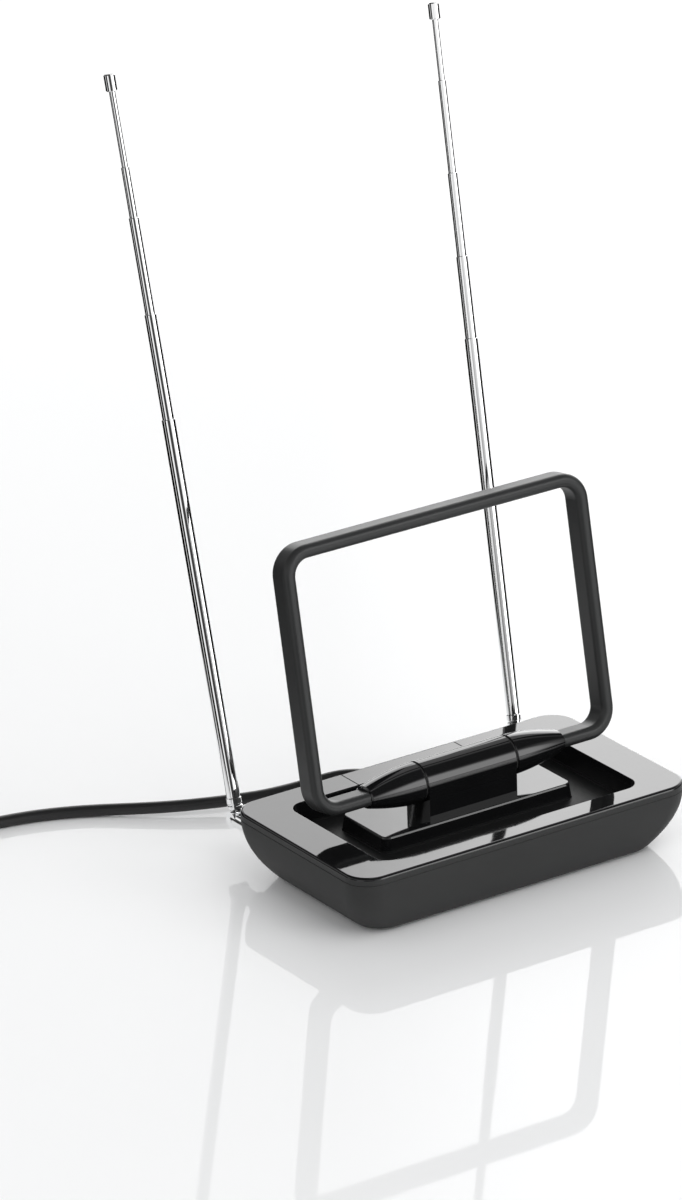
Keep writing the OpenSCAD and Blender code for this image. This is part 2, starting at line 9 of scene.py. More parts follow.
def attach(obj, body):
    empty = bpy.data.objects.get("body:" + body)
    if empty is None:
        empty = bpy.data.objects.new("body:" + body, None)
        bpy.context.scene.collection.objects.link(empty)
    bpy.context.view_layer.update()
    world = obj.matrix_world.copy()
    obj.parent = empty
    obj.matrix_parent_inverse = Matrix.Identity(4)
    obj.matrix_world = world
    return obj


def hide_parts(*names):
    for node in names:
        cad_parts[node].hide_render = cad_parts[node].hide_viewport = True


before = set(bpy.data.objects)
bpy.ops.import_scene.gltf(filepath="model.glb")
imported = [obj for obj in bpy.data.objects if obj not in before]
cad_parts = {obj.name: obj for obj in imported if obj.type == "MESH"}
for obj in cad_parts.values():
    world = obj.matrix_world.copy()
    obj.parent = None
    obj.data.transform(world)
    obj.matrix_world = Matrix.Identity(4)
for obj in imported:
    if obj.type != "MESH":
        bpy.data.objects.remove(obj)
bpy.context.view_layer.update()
MM = 0.001
SHARP = math.radians(35)

# Camera, solved from the picture's perspective
FRAME_HIGH = 1200
FOCAL_PIXELS = 7000
CAMERA_AT = Vector((-1.7436, -2.5628, 1.4013))
LOOK_ALONG = Vector((0.50714, 0.77491, -0.37724))
CAMERA_RIGHT = Vector((0.82975, -0.55736, -0.02945))

# Studio, as the gloss and the chrome mirror it: dark flags round the object, by their bearing
# from the camera's side and half width in degrees, and the direction of a soft window
VIEW_BEARING = math.atan2(-LOOK_ALONG.y, -LOOK_ALONG.x)
FLAGS = [(3, 24), (-62, 18), (-118, 36), (109, 38)]
WINDOW = Vector((1.05, -1.7, 0.45)).normalized()

# Base and hinge, as in the part's source
BASE_HIGH = 35.5 * MM
SOLE_Z = 1.5 * MM
AXIS = Vector((0, 0, 49 * MM))
LOOP_LEAN = math.radians(10)
ROD_LEAN = {"left": math.radians(14), "right": math.radians(18)}
ROD_SWING = {"left": 0.0, "right": math.radians(6.3)}

# Lead, in millimetres: the route of its middle, then the coil that is put away, its turns
# by radius and height, and the share of each turn in which it shifts over to the next
LEAD_THICK = 6 * MM
ROUTE = [(6, 79, 14), (5.9, 81.5, 14), (4.9, 86.4, 13.9), (1.6, 93.1, 13.3),
         (-3.5, 98.6, 12.4), (-9.9, 102.3, 11.3), (-19, 105, 9.8), (-29, 108, 8.3),
         (-41, 112, 7), (-53, 117, 6.3), (-66, 123.5, 5.6), (-80, 131.5, 4.8),
         (-92, 139.5, 4.2), (-103, 148, 3.6), (-114, 156, 3.15), (-126, 162.5, 3.05),
         (-138, 167.5, 3.05), (-149, 170.7, 3.05), (-160, 173, 3.05), (-172, 174.8, 3.05),
         (-184, 175.8, 3.05), (-196, 176, 3.05)]
COIL_AT = (-208, 215)
COIL_R = 33
COLUMNS = [(39, 3.05), (33, 3.05), (27, 3.05), (27, 9.05), (33, 9.05), (39, 9.05)]
SHIFTS = [(0.55, 1), (0.55, 1), (0.42, 0.8), (0.3, 0.65), (0.3, 0.65)]
OUTSIDE = 45.2
LOW = 3.05
PLUG_AT = (-224, 262.6, 5.6)
PLUG_BEND = 31.5
TIE_ANGLE = 45

# Housing, as in the part's source
BASE_WIDE = 195 * MM
BASE_DEEP = 113 * MM
SOLE_WIDE = 167 * MM
SOLE_DEEP = 91 * MM
SEAM_Z = 31.5 * MM
CORNER_R = 13.5 * MM
EDGE_R = 1.5 * MM
WALL = 2.2 * MM
SIDE_CURVE = 2.3
FRONT_CURVE = 1.6
BASIN = (148 * MM, 80.5 * MM)
BASIN_R = 8 * MM
BASIN_Y = -1.75 * MM
BASIN_Z = 24 * MM
BASIN_DRAFT = 1.76 * MM
ISLAND = (110 * MM, 38 * MM)
ISLAND_Y = 4.5 * MM
ISLAND_Z = 32 * MM
RIM_REAR = 16.5 * MM
PANEL_WIDE = 66 * MM
PANEL_THICK = 2 * MM
STUD_AT = (83 * MM, 50.56 * MM, 19.5 * MM)
STUD_SEAT_R = 6 * MM
GLAND_AT = (6 * MM, 51.61 * MM, 14 * MM)
GLAND_SEAT_R = 7.2 * MM

# End cones of the barrel
SLEEVE_R = 10.2 * MM
CONE_X = 26.9 * MM
CONE_LONG = 30 * MM
CONE_CURVE = 1.8
MOUTH_HIGH = 10.8 * MM
MOUTH_DEEP = 15.6 * MM


def place_camera():
    camera = bpy.data.cameras.new("camera")
    camera.sensor_fit = "VERTICAL"
    camera.sensor_height = 24
    camera.lens = camera.sensor_height * FOCAL_PIXELS / FRAME_HIGH
    camera.clip_end = 100
    holder = bpy.data.objects.new("camera", camera)
    bpy.context.scene.collection.objects.link(holder)
    right = CAMERA_RIGHT.normalized()
    back = -LOOK_ALONG.normalized()
    up = back.cross(right)
    turn = Matrix((right, up, back)).transposed()
    holder.matrix_world = Matrix.Translation(CAMERA_AT) @ turn.to_4x4()
    bpy.context.scene.camera = holder


def smooth(t):
    t = min(1, max(0, t))
    return t * t * (3 - 2 * t)


def on_coil(angle, radius, height):
    """A point of the coil, its angle clockwise from the side where the lead comes in."""
    turned = -math.pi / 2 - angle
    return (COIL_AT[0] + radius * math.cos(turned), COIL_AT[1] + radius * math.sin(turned), height)


def coil_points():
    """Turns beside and on each other, a thickness apart, each shifting over as it closes."""
    steps = 24
    points = []
    for (begin, end), (radius, height), (next_radius, next_height) in zip(
            SHIFTS, COLUMNS, COLUMNS[1:]):
        for step in range(steps):
            shift = smooth((step / steps - begin) / (end - begin))
            points.append(on_coil(math.tau * step / steps,
                                  radius + shift * (next_radius - radius),
                                  height + shift * (next_height - height)))
    radius, height = COLUMNS[-1]
    for step in range(steps):
        turn = step / steps
        points.append(on_coil(math.tau * turn,
                              radius + smooth((turn - 0.3) / 0.35) * (OUTSIDE - radius),
                              height + smooth((turn - 0.42) / 0.33) * (LOW - height) + hump(turn)))
    return points


def hump(turn):
    """Rise of the last turn where it passes over the lead that comes in."""
    return 6.2 * smooth(1 - abs(turn - 0.92) / 0.12)


def tail_points():
    """Beside the coil on the table, and round into the plug."""
    side = COIL_AT[0] - PLUG_AT[0] + PLUG_BEND
    points = [on_coil(math.radians(10 * step), OUTSIDE + smooth(step / 9) * (side - OUTSIDE),
                      LOW + hump(1 + step / 36)) for step in range(10)]
    corner = PLUG_AT[1] - PLUG_BEND
    points.append((PLUG_AT[0] - PLUG_BEND, (COIL_AT[1] + corner) / 2, LOW))
    for step in range(6):
        angle = math.pi - math.radians(18 * step)
        points.append((PLUG_AT[0] + PLUG_BEND * math.cos(angle),
                       corner + PLUG_BEND * math.sin(angle),
                       LOW + smooth(step / 5) * (PLUG_AT[2] - LOW)))
    points.append((PLUG_AT[0] + 6, PLUG_AT[1], PLUG_AT[2]))
    return points


def make_lead():
    """The lead as one smooth round line through its route, its coil and its end."""
    points = ROUTE + coil_points() + tail_points()
    line = bpy.data.curves.new("lead_run", "CURVE")
    line.dimensions = "3D"
    line.bevel_depth = LEAD_THICK / 2
    line.bevel_resolution = 6
    line.resolution_u = 4
    line.use_fill_caps = True
    spline = line.splines.new("NURBS")
    spline.points.add(len(points) - 1)
    for knot, point in zip(spline.points, points):
        knot.co = (*(Vector(point) * MM), 1)
    spline.order_u = 4
    spline.use_endpoint_u = True
    lead = bpy.data.objects.new("lead_run", line)
    bpy.context.scene.collection.objects.link(lead)
    return lead


place_camera()
lead_run = make_lead()


class Value:
    """One socket's value, written like a number: each operator adds a Math node."""

    def __init__(self, material, socket):
        self.material = material
        self.socket = socket

    def math(self, operation, other=0.0, turned=False):
        pair = (other, self) if turned else (self, other)
        return self.material.node("ShaderNodeMath", {"operation": operation}, pair)

    def __add__(self, other):
        return self.math("ADD", other)

    def __radd__(self, other):
        return self.math("ADD", other, True)

    def __sub__(self, other):
        return self.math("SUBTRACT", other)

    def __rsub__(self, other):
        return self.math("SUBTRACT", other, True)

    def __mul__(self, other):
        return self.math("MULTIPLY", other)

    def __rmul__(self, other):
        return self.math("MULTIPLY", other, True)

    def __truediv__(self, other):
        return self.math("DIVIDE", other)

    def __gt__(self, other):
        return self.math("GREATER_THAN", other)

    def __lt__(self, other):
        return self.math("LESS_THAN", other)

    def power(self, other):
        return self.math("POWER", other)

    def low(self, other):
        return self.math("MINIMUM", other)

    def high(self, other):
        return self.math("MAXIMUM", other)

    def size(self):
        return self.math("ABSOLUTE")


class Finish:
    """A material, or the world, made of nodes, with its maps written as expressions."""

    def __init__(self, name, world=False):
        holder = bpy.context.scene.world if world else bpy.data.materials.new(name)
        holder.use_nodes = True
        holder.node_tree.nodes.clear()
        self.holder = holder
        self.tree = holder.node_tree
        kind = "ShaderNodeOutputWorld" if world else "ShaderNodeOutputMaterial"
        self.output = self.tree.nodes.new(kind)

    def fill(self, socket, value):
        if isinstance(value, Value):
            self.tree.links.new(value.socket, socket)
        else:
            socket.default_value = value

    def node(self, kind, settings=None, inputs=(), out=0):
        node = self.tree.nodes.new(kind)
        for name, setting in (settings or {}).items():
            setattr(node, name, setting)
        pairs = inputs.items() if isinstance(inputs, dict) else enumerate(inputs)
        for key, value in pairs:
            self.fill(node.inputs[key], value)
        return Value(self, node.outputs[out])

    def place(self, scale=(1, 1, 1), turn=(0, 0, 0)):
        where = self.node("ShaderNodeTexCoord", out="Object")
        return self.node("ShaderNodeMapping", {"vector_type": "TEXTURE"}, {
            "Vector": where, "Rotation": turn, "Scale": tuple(1 / s for s in scale)})

    def axes(self, kind="Object"):
        where = self.node("ShaderNodeTexCoord", out=kind)
        split = self.node("ShaderNodeSeparateXYZ", inputs=(where,))
        return [Value(self, socket) for socket in split.socket.node.outputs]

    def rays(self, *kinds):
        paths = self.node("ShaderNodeLightPath").socket.node.outputs
        return [Value(self, paths["Is %s Ray" % kind]) for kind in kinds]

    def noise(self, scale, detail=2, where=None):
        return self.node("ShaderNodeTexNoise", {}, {
            "Vector": where or self.place(), "Scale": scale, "Detail": detail}, "Fac")

    def mix(self, factor, low, high):
        """Blends two colours, by the first and the last inputs of a colour Mix node."""
        return self.node("ShaderNodeMix", {"data_type": "RGBA"},
                         {0: factor, 6: (*low, 1), 7: (*high, 1)}, 2)

    def bump(self, height, depth):
        return self.node("ShaderNodeBump", {}, {
            "Strength": 1.0, "Distance": depth, "Height": height})

    def glow(self, tone):
        return self.node("ShaderNodeEmission", {}, {"Color": (tone, tone, tone, 1)})

    def layer(self, factor, under, over):
        return self.node("ShaderNodeMixShader", {}, (factor, under, over))

    def shader(self, **maps):
        names = {"color": "Base Color", "rough": "Roughness", "metal": "Metallic",
                 "ior": "IOR", "normal": "Normal", "specular": "Specular IOR Level"}
        inputs = {}
        for name, value in maps.items():
            if name == "color" and isinstance(value, tuple):
                value = (*value, 1)
            inputs[names[name]] = value
        return self.node("ShaderNodeBsdfPrincipled", {}, inputs)

    def wear(self, surface):
        self.tree.links.new(surface.socket, self.output.inputs[0])
        return self.holder

    def coat(self, **maps):
        return self.wear(self.shader(**maps))


def clear():
    """Leaves edit mode and deselects everything."""
    if bpy.context.mode != "OBJECT":
        bpy.ops.object.mode_set(mode="OBJECT")
    bpy.ops.object.select_all(action="DESELECT")


def take(*pieces):
    """Selects these pieces alone, the first of them the active one."""
    clear()
    for piece in pieces:
        piece.select_set(True)
    bpy.context.view_layer.objects.active = pieces[0]


def settle(piece, turn=(0, 0, 0), at=(0, 0, 0)):
    """Turns and moves a finished piece and puts its place into its mesh."""
    take(piece)
    piece.rotation_euler = turn
    piece.location = at
    bpy.ops.object.transform_apply(location=True, rotation=True, scale=True)
    return piece


def finish_mesh(piece):
    """Merges doubles, points the faces outwards and shades the rounds smooth."""
    take(piece)
    bpy.ops.object.mode_set(mode="EDIT")
    bpy.ops.mesh.select_all(action="SELECT")
    bpy.ops.mesh.remove_doubles(threshold=0.000001)
    bpy.ops.mesh.normals_make_consistent(inside=False)
    bpy.ops.object.mode_set(mode="OBJECT")
    bpy.ops.object.shade_smooth_by_angle(angle=SHARP)
    return piece


def copy_of(piece, name):
    take(piece)
    bpy.ops.object.duplicate()
    twin = bpy.context.object
    twin.name = name
    return twin


def make_cone():
    """End cone, drawn out ring by ring from the sleeve's round to the mouth's oval."""
    def ring(t):
        share = t ** CONE_CURVE
        return (SLEEVE_R + (MOUTH_HIGH / 2 - SLEEVE_R) * share,
                SLEEVE_R + (MOUTH_DEEP / 2 - SLEEVE_R) * share)

    low_lip, mouth_lip = 0.35 * MM, 0.7 * MM
    stations = [(low_lip, ring(0))]
    stations += [(CONE_LONG * step / 20, ring(step / 20)) for step in range(1, 20)]
    high, deep = ring(1)
    stations += [(CONE_LONG - mouth_lip, ring(1 - mouth_lip / CONE_LONG)),
                 (CONE_LONG, (high - mouth_lip, deep - mouth_lip))]
    clear()
    bpy.ops.mesh.primitive_circle_add(vertices=96, radius=SLEEVE_R - low_lip, fill_type="NGON")
    cone = bpy.context.object
    bpy.ops.object.mode_set(mode="EDIT")
    bpy.ops.mesh.select_all(action="SELECT")
    was = (SLEEVE_R - low_lip, SLEEVE_R - low_lip)
    level = 0
    for height, size in stations:
        bpy.ops.mesh.extrude_region_move(
            TRANSFORM_OT_translate={"value": (0, 0, height - level)})
        bpy.ops.transform.resize(value=(size[0] / was[0], size[1] / was[1], 1),
                                 center_override=(0, 0, height))
        was, level = size, height
    return finish_mesh(cone)


def place_cones():
    """Both end cones on the loop's axis, leaning with the loop."""
    cone = make_cone()
    other = copy_of(cone, "cone_left_smooth")
    cone.name = "cone_right_smooth"
    settle(cone, (0, math.pi / 2, 0))
    settle(other, (0, math.pi / 2, 0))
    settle(cone, (-LOOP_LEAN, 0, 0), AXIS + Vector((CONE_X, 0, 0)))
    settle(other, (0, 0, math.pi))
    settle(other, (-LOOP_LEAN, 0, 0), AXIS - Vector((CONE_X, 0, 0)))
    for piece, node in ((cone, "cone_right"), (other, "cone_left")):
        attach(piece, "loop")
        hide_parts(node)
    return cone, other


def make_tie():
    """Flat tie round the coil, its free end standing off outside."""
    wide, tall, strap = 19.4 * MM, 12.9 * MM, 6 * MM
    corner, thick = 2.7 * MM, 0.6 * MM
    clear()
    bpy.ops.mesh.primitive_cube_add(size=1)
    tie = bpy.context.object
    tie.name = "lead_tie"
    tie.scale = (wide, strap, tall)
    tie.location = (0, 0, tall / 2)
    bpy.ops.object.transform_apply(location=True, rotation=True, scale=True)
    mesh = tie.data
    for edge in mesh.edges:
        ends = [mesh.vertices[i].co for i in edge.vertices]
        edge.select = abs(ends[0].y - ends[1].y) > strap / 2
    bpy.ops.object.mode_set(mode="EDIT")
    bpy.ops.mesh.select_mode(type="EDGE")
    bpy.ops.mesh.bevel(offset=corner, segments=6, affect="EDGES")
    bpy.ops.mesh.select_mode(type="FACE")
    bpy.ops.mesh.select_all(action="DESELECT")
    bpy.ops.object.mode_set(mode="OBJECT")
    for face in mesh.polygons:
        face.select = abs(face.normal.y) > 0.9
    bpy.ops.object.mode_set(mode="EDIT")
    bpy.ops.mesh.delete(type="FACE")
    bpy.ops.object.mode_set(mode="OBJECT")
    for edge in mesh.edges:
        ends = [mesh.vertices[i].co for i in edge.vertices]
        edge.select = (abs(ends[0].y - ends[1].y) > strap / 2 and
                       all(end.x > wide / 2 - 3 * MM and end.z > tall - 0.1 * MM for end in ends))
    bpy.ops.object.mode_set(mode="EDIT")
    bpy.ops.mesh.select_mode(type="EDGE")
    for out, down in ((4, -0.4), (4, -1.6), (3, -2.4)):
        bpy.ops.mesh.extrude_edges_move(
            TRANSFORM_OT_translate={"value": (out * MM, 0, down * MM)})
    bpy.ops.object.mode_set(mode="OBJECT")
    wall = tie.modifiers.new("wall", "SOLIDIFY")
    wall.thickness = thick
    wall.offset = 0
    soft = tie.modifiers.new("soft", "BEVEL")
    soft.width = 0.15 * MM
    soft.segments = 2
    take(tie)
    for name in ("wall", "soft"):
        bpy.ops.object.modifier_apply(modifier=name)
    angle = math.radians(TIE_ANGLE)
    finish_mesh(tie)
    at = Vector((COIL_AT[0] + COIL_R * math.cos(angle),
                 COIL_AT[1] + COIL_R * math.sin(angle), 0)) * MM
    settle(tie, (0, 0, angle), at + Vector((0, 0, thick / 2)))
    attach(tie, "base")
    return tie


def pick(piece, test, kind):
    """Selects the edges or faces of a piece that pass a test, and goes into edit mode."""
    take(piece)
    mesh = piece.data
    bpy.ops.object.mode_set(mode="EDIT")
    bpy.ops.mesh.select_mode(type=kind)
    bpy.ops.mesh.select_all(action="DESELECT")
    bpy.ops.object.mode_set(mode="OBJECT")
    if kind == "EDGE":
        for edge in mesh.edges:
            edge.select = all(test(mesh.vertices[i].co) for i in edge.vertices)
    else:
        for face in mesh.polygons:
            face.select = test(face.center, face.normal)
    bpy.ops.object.mode_set(mode="EDIT")


def rounded_plate(name, size, radius, at):
    """Flat rounded rectangle with its corners drawn as arcs."""
    clear()
    bpy.ops.mesh.primitive_plane_add(size=1)
    plate = bpy.context.object
    plate.name = name
    plate.scale = (size[0], size[1], 1)
    settle(plate)
    bpy.ops.object.mode_set(mode="EDIT")
    bpy.ops.mesh.select_all(action="SELECT")
    bpy.ops.mesh.bevel(offset=radius, segments=14, affect="VERTICES")
    bpy.ops.object.mode_set(mode="OBJECT")
    return settle(plate, at=at)


def rounded_block(name, size, radius, at, high, draft):
    """Rounded plate pulled up into a block, drawn in by draft."""
    block = rounded_plate(name, size, radius, at)
    bpy.ops.object.mode_set(mode="EDIT")
    bpy.ops.mesh.select_all(action="SELECT")
    bpy.ops.mesh.extrude_region_move(TRANSFORM_OT_translate={"value": (0, 0, high)})
    bpy.ops.transform.resize(value=(1 - 2 * draft / size[0], 1 - 2 * draft / size[1], 1),
                             center_override=(at[0], at[1], at[2] + high))
    return finish_mesh(block)


def cut(piece, tool, how="DIFFERENCE"):
    """Takes a tool's shape out of a piece, or joins it on, and removes the tool."""
    step = piece.modifiers.new("cut", "BOOLEAN")
    step.operation = how
    step.solver = "EXACT"
    step.object = tool
    take(piece)
    bpy.ops.object.modifier_apply(modifier="cut")
    bpy.data.objects.remove(tool)


def even_shading(piece, angle):
    """Smooth shading over the rounds, with the flats kept flat."""
    bpy.ops.object.shade_smooth_by_angle(angle=angle)
    even = piece.modifiers.new("even", "WEIGHTED_NORMAL")
    even.keep_sharp = True
    bpy.ops.object.modifier_apply(modifier="even")


def ease_edges(piece, width):
    """Small rounds on the sharp edges."""
    take(piece)
    soft = piece.modifiers.new("soft", "BEVEL")
    soft.width = width
    soft.segments = 3
    soft.limit_method = "ANGLE"
    soft.angle_limit = SHARP
    bpy.ops.object.modifier_apply(modifier="soft")
    even_shading(piece, SHARP)


def make_cover():
    """Glossy cover: rounded rim and band, sunken basin and the island in it."""
    top = rounded_plate("cover_gloss", (BASE_WIDE, BASE_DEEP), CORNER_R, (0, 0, SEAM_Z))
    bpy.ops.object.mode_set(mode="EDIT")
    bpy.ops.mesh.select_all(action="SELECT")
    bpy.ops.mesh.extrude_region_move(
        TRANSFORM_OT_translate={"value": (0, 0, BASE_HIGH - SEAM_Z)})
    bpy.ops.mesh.region_to_loop()
    bpy.ops.mesh.bevel(offset=EDGE_R, segments=5, affect="EDGES")
    finish_mesh(top)
    pick(top, lambda at, normal: normal.z < -0.9, "FACE")
    lip = 2 * MM
    for narrower, lower in ((WALL + 0.5 * MM, lip),
                            (9.5 * MM, SEAM_Z - lip - (BASIN_Z - WALL))):
        bpy.ops.mesh.inset(thickness=narrower)
        bpy.ops.mesh.extrude_region_move(TRANSFORM_OT_translate={"value": (0, 0, -lower)})
    finish_mesh(top)
    basin = rounded_block("basin", BASIN, BASIN_R, (0, BASIN_Y, BASIN_Z),
                          BASE_HIGH - BASIN_Z + 2 * MM, -BASIN_DRAFT)
    cut(top, basin)
    island = rounded_block("island", (ISLAND[0] + 2 * MM, ISLAND[1] + 2 * MM), 4 * MM,
                           (0, ISLAND_Y, BASIN_Z - 1 * MM), ISLAND_Z - BASIN_Z, 1 * MM)
    pick(island, lambda at, normal: normal.z > 0.9, "FACE")
    bpy.ops.mesh.extrude_region_move(TRANSFORM_OT_translate={"value": (0, 0, 1 * MM)})
    bpy.ops.transform.resize(value=(1 - 0.8 * MM / ISLAND[0], 1 - 0.8 * MM / ISLAND[1], 1),
                             center_override=(0, ISLAND_Y, ISLAND_Z))
    finish_mesh(island)
    cut(top, island, "UNION")
    clear()
    bpy.ops.mesh.primitive_cube_add(size=1)
    seat = bpy.context.object
    seat.scale = (PANEL_WIDE + 0.9 * MM, RIM_REAR + 6 * MM, PANEL_THICK + 2 * MM)
    settle(seat, at=(0, BASE_DEEP / 2 - RIM_REAR + RIM_REAR / 2 + 2.9 * MM,
                     BASE_HIGH - PANEL_THICK / 2 + 1 * MM))
    cut(top, seat)
    ease_edges(top, 0.25 * MM)
    return top


def make_shell():
    """Lower housing drawn ring by ring from the seam down to the sole, with a real wall."""
    rings = []
    levels = [(SEAM_Z, 0.35 * MM)] + [(SEAM_Z - drop * MM, 0) for drop in (
        0.3, 2, 4.5, 7, 9.5, 12, 14.5, 17, 19.5, 22, 24.5, 27, 28.6)] + [
        (SOLE_Z + 0.35 * MM, 0.25 * MM), (SOLE_Z, 0.9 * MM)]
    for height, inset in levels:
        t = (SEAM_Z - height) / (SEAM_Z - SOLE_Z)
        size = (BASE_WIDE - (BASE_WIDE - SOLE_WIDE) * t ** SIDE_CURVE - 2 * inset,
                BASE_DEEP - (BASE_DEEP - SOLE_DEEP) * t ** FRONT_CURVE - 2 * inset)
        rings.append(rounded_plate("ring", size, CORNER_R - inset, (0, 0, height)))
    take(*rings)
    shell = rings[0]
    bpy.ops.object.join()
    shell.name = "shell_skin"
    bpy.ops.object.mode_set(mode="EDIT")
    bpy.ops.mesh.select_all(action="SELECT")
    bpy.ops.mesh.delete(type="ONLY_FACE")
    bpy.ops.mesh.select_all(action="SELECT")
    bpy.ops.mesh.bridge_edge_loops()
    pick(shell, lambda at: at.z < SOLE_Z + 0.01 * MM, "EDGE")
    bpy.ops.mesh.edge_face_add()
    bpy.ops.mesh.select_all(action="SELECT")
    bpy.ops.mesh.normals_make_consistent(inside=False)
    bpy.ops.object.mode_set(mode="OBJECT")
    wall = shell.modifiers.new("wall", "SOLIDIFY")
    wall.thickness = WALL
    wall.offset = -1
    bpy.ops.object.modifier_apply(modifier="wall")
    even_shading(shell, math.radians(32))
    return shell


def add_boss(shell, radius, at, long):
    """Round seat on the shell's rear wall, with a rounded outer edge."""
    clear()
    bpy.ops.mesh.primitive_cylinder_add(vertices=64, radius=radius, depth=long)
    boss = bpy.context.object
    settle(boss, (math.pi / 2, 0, 0), at)
    ease_edges(boss, 0.4 * MM)
    take(shell, boss)
    bpy.ops.object.join()


def place_housing(gloss, matt):
    """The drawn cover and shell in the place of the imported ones."""
    cover = make_cover()
    shell = make_shell()
    for side in (-1, 1):
        add_boss(shell, STUD_SEAT_R, (side * STUD_AT[0], *STUD_AT[1:]), 10 * MM)
    add_boss(shell, GLAND_SEAT_R, GLAND_AT, 6.5 * MM)
    for piece, node, finish, slot in ((cover, "top_cover", gloss, "gloss_black"),
                                      (shell, "bottom_shell", matt, "shell_black")):
        piece.data.materials.clear()
        piece.data.materials.append(finish)
        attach(piece, "base")
        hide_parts(node)


def piano_black():
    """Deep gloss black with a trace of flow, dulled on the band and on the basin's floor."""
    f = Finish("piano_black")
    x, y, z = f.axes()
    flow = f.noise(60, 2)
    wiped = f.noise(900, 3, f.place(scale=(1, 0.15, 1), turn=(0, 0, 0.4)))
    colour = f.mix(flow, (0.005, 0.0051, 0.0055), (0.008, 0.0082, 0.0086))
    level = f.bump(flow, 0.00002)
    gloss = f.shader(color=colour, rough=0.03 + 0.025 * wiped, ior=1.52, normal=level)
    grain = f.noise(2200, 3)
    band = (z < BASE_HIGH - 1.45 * MM) * (y.size() > 52 * MM).high(x.size() > 92 * MM)
    dark = f.mix(band, (0.01, 0.0103, 0.0105), (0.03, 0.0305, 0.0305))
    dull = f.shader(color=dark, rough=0.42 + 0.1 * grain, ior=1.45, specular=0.3,
                    normal=f.bump(grain, 0.00004))
    floor = (z < BASIN_Z + 1.2 * MM) * (x.size() < 76 * MM) * (y.size() < 46 * MM)
    return f.wear(f.layer(band.high(floor), gloss, dull))


def satin_black():
    """Satin black of the loop: fine grain and a slightly lighter worn sheen."""
    f = Finish("satin_black")
    grain = f.noise(2600, 2)
    sheen = f.noise(45, 3)
    colour = f.mix(sheen, (0.024, 0.0248, 0.0252), (0.03, 0.0308, 0.031))
    return f.coat(color=colour, rough=0.34 + 0.06 * sheen, ior=1.45, specular=0.35,
                  normal=f.bump(grain, 0.00003))


def shell_grain():
    """Matt spark-eroded texture of the lower housing."""
    f = Finish("shell_grain")
    grain = f.noise(2200, 3)
    patches = f.noise(25, 2)
    colour = f.mix(patches, (0.026, 0.0264, 0.0264), (0.032, 0.0324, 0.0324))
    return f.coat(color=colour, rough=0.5 + 0.1 * grain, ior=1.45, specular=0.35,
                  normal=f.bump(grain, 0.00006))


def chrome(side):
    """Chromed tube: drawn lines along the rod under a bright plate."""
    f = Finish("chrome_" + side)
    along = f.place(scale=(1, 1, 0.02), turn=(-ROD_LEAN[side], ROD_SWING[side], 0))
    drawn = f.noise(2500, 2, along)
    colour = f.mix(drawn, (0.9, 0.905, 0.91), (0.96, 0.962, 0.965))
    return f.coat(color=colour, metal=1.0, rough=0.03 + 0.03 * drawn)


def cast_metal():
    """Satin plated metal of the swivel arms."""
    f = Finish("cast_metal")
    grain = f.noise(1800, 3)
    colour = f.mix(grain, (0.3, 0.3, 0.31), (0.42, 0.42, 0.43))
    return f.coat(color=colour, metal=1.0, rough=0.28 + 0.12 * grain,
                  normal=f.bump(grain, 0.00002))


def plain(name, low, high, rough, metal=0.0):
    """Fine-grained finish between two colours, for the small and the hidden pieces."""
    f = Finish(name)
    grain = f.noise(1500, 3)
    return f.coat(color=f.mix(grain, low, high), metal=metal, rough=rough + 0.1 * grain,
                  normal=f.bump(grain, 0.00003))


def grey(tone):
    return (tone, tone, tone)


def sector(bearing, spread, east, north, reach):
    """1 in the soft sector of the table or the room that lies round a bearing, else 0."""
    angle = VIEW_BEARING + math.radians(bearing)
    along = (east * math.cos(angle) + north * math.sin(angle)) / reach
    edge = math.cos(math.radians(spread))
    return ((along - edge) / (1 - edge) * 2.5).high(0).low(1)


def flagged(east, north, reach):
    """1 wherever one of the studio's dark flags stands, else 0."""
    first, *others = [sector(*flag, east, north, reach) for flag in FLAGS]
    for other in others:
        first = first.high(other)
    return first


def floor_white():
    """Glossy white table top that runs out into the white of the room. Where the studio's dark
    flags would stand, it is painted black for mirrored rays only. This is a painted reflection of
    flags that are not in the scene, so the chrome has its dark lines and the table none."""
    f = Finish("floor_white")
    haze = f.noise(1.4, 1)
    table = f.shader(color=(0.93, 0.935, 0.94), rough=0.02 + 0.015 * haze, ior=1.5,
                     specular=0.1)
    camera, mirrored, through = f.rays("Camera", "Glossy", "Transmission")
    east, north, _ = f.axes()
    reach = (east * east + north * north).power(0.5).high(0.001)
    away = ((reach - 0.3) * 0.6).high(0).low(1)
    sweep = f.layer(mirrored.high(camera).high(through) * away, table, f.glow(1.0))
    clear_of_base = ((reach - 0.25) * 8).high(0).low(1)
    # Painted reflection: black for mirrored rays where the flags would stand, so the chrome shows
    # dark lines from flags that are not in the scene
    dark = mirrored * clear_of_base * flagged(east, north, reach)
    return f.wear(f.layer(dark, sweep, f.glow(0.0)))


def dress(material, *nodes):
    for name in nodes:
        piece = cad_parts[name]
        for place in piece.material_slots:
            place.material = material


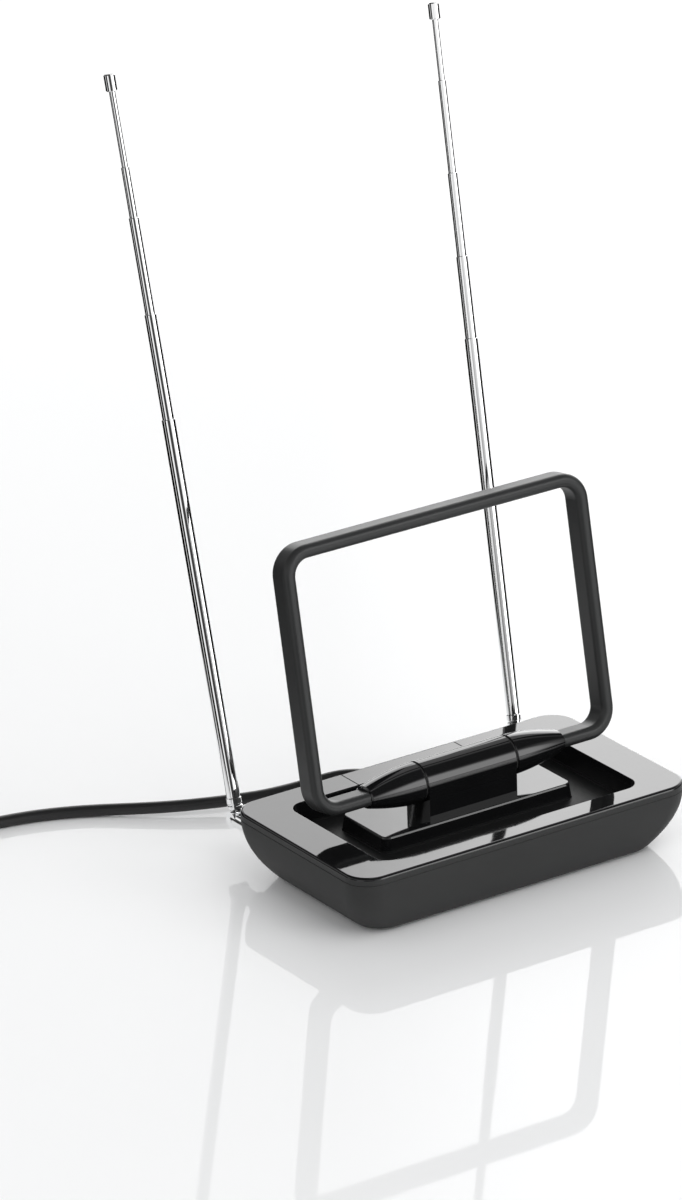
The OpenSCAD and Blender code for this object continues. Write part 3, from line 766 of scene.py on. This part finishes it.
def dress_all():
    gloss = piano_black()
    dress(gloss, "rear_panel", "hinge_saddle")
    place_housing(gloss, shell_grain())
    for cone in place_cones():
        cone.data.materials.append(gloss)
    dress(satin_black(), "loop_bar")
    metal = cast_metal()
    for side in ("left", "right"):
        bright = chrome(side)
        tubes = ["tube_%d_%s" % (i, side) for i in range(1, 6)]
        dress(bright, *tubes, *(name + side for name in ("cap_", "foot_", "tilt_pin_", "stud_")))
        dress(metal, "nut_" + side)
    screw = plain("screw_steel", (0.45, 0.45, 0.46), (0.6, 0.6, 0.61), 0.3, 1.0)
    dress(screw, "saddle_screws", "hinge_axle", "case_screws", "shield_can")
    weight = plain("weight_steel", (0.12, 0.12, 0.125), (0.2, 0.2, 0.2), 0.5, 1.0)
    dress(weight, "weight_left", "weight_right")
    rubber = plain("foot_rubber", grey(0.012), grey(0.02), 0.7)
    dress(rubber, "feet", "washer_left", "washer_right")
    dress(plain("gland_rubber", grey(0.012), grey(0.018), 0.5), "lead_gland")
    dress(plain("board_green", (0.01, 0.08, 0.03), (0.015, 0.11, 0.04), 0.35), "circuit_board")
    dress(plain("core_ferrite", (0.02, 0.02, 0.022), (0.035, 0.035, 0.037), 0.7), "balun_core")
    dress(plain("plug_black", grey(0.01), grey(0.016), 0.25), "plug_grip")
    dress(plain("plug_metal", (0.6, 0.6, 0.61), (0.7, 0.7, 0.71), 0.2, 1.0), "plug_barrel")
    dress(plain("pin_brass", (0.6, 0.42, 0.18), (0.72, 0.52, 0.25), 0.25, 1.0), "plug_pin")


def finish_lead():
    jacket = plain("lead_jacket", (0.01, 0.01, 0.0105), (0.016, 0.016, 0.0165), 0.38)
    lead_run.data.materials.append(jacket)
    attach(lead_run, "base")
    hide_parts("lead", "lead_coil")
    tie = make_tie()
    tie.data.materials.append(plain("tie_strap", grey(0.008), grey(0.014), 0.6))
    plug = [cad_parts[name] for name in ("plug_grip", "plug_barrel", "plug_pin")] + [tie]


def lamp(name, at, aim, size, power, mirrored=False):
    """Softbox, aimed at a point. Only a mirrored one shows in the gloss and the chrome."""
    light = bpy.data.lights.new(name, "AREA")
    light.shape = "RECTANGLE"
    light.size = size[0]
    light.size_y = size[1]
    light.energy = power
    holder = bpy.data.objects.new(name, light)
    bpy.context.scene.collection.objects.link(holder)
    holder.location = at
    holder.rotation_euler = (Vector(aim) - Vector(at)).to_track_quat("-Z", "Y").to_euler()
    holder.visible_glossy = mirrored


def room_light():
    """White room. What is mirrored sees a dark ceiling, the flags near the table, a soft
    window at the right, and behind the object a softbox that is paler to the right."""
    w = Finish("studio", world=True)
    camera, mirrored, through = w.rays("Camera", "Glossy", "Transmission")
    east, north, upward = w.axes("Generated")
    level = (east * east + north * north).power(0.5).high(0.001)
    ceiling = ((upward - 0.4) * 5).high(0).low(1)
    low_down = ((0.34 - upward) * 8).high(0).low(1)
    dark = ceiling.high(flagged(east, north, level) * low_down)
    toward = east * WINDOW.x + north * WINDOW.y + upward * WINDOW.z
    window = ((toward - 0.945) * 25).high(0).low(1)
    ahead = LOOK_ALONG.xy.normalized()
    aside = CAMERA_RIGHT.xy.normalized()
    behind = (((east * ahead.x + north * ahead.y) / level - 0.5) * 4).high(0).low(1)
    edge = (((east * aside.x + north * aside.y) / level + 0.014) * 33).high(0).low(1)
    paler = window * 3 + behind * (edge * 1.4 - 0.65)
    strength = (0.5 + mirrored * (0.5 - dark * 0.95 + paler)).high(camera.high(through))
    sky = w.node("ShaderNodeBackground", {}, {"Color": (1, 1, 1, 1), "Strength": strength})
    w.wear(sky)


def studio():
    scene = bpy.context.scene
    scene.view_settings.view_transform = "Standard"
    if scene.world is None:
        scene.world = bpy.data.worlds.new("studio")
    room_light()
    lamp("back_box", (1.56, 2.42, 1.16), (0, 0.05, 0.05), (2.6, 1.8), 36, True)
    lamp("right_box", (1.05, -1.7, 0.5), (0, 0, 0.1), (1.1, 0.9), 12)
    lamp("left_box", (-1.6, -0.6, 1.3), (0, 0, 0.1), (1.2, 1.6), 6)
    lamp("top_box", (0.2, -1.2, 1.9), (0, 0, 0.05), (1.8, 1.4), 12)
    clear()
    bpy.ops.mesh.primitive_plane_add(size=80, location=(0, 0, 0))
    floor = bpy.context.object
    floor.name = "table"
    floor.data.materials.append(floor_white())


dress_all()
finish_lead()
studio()
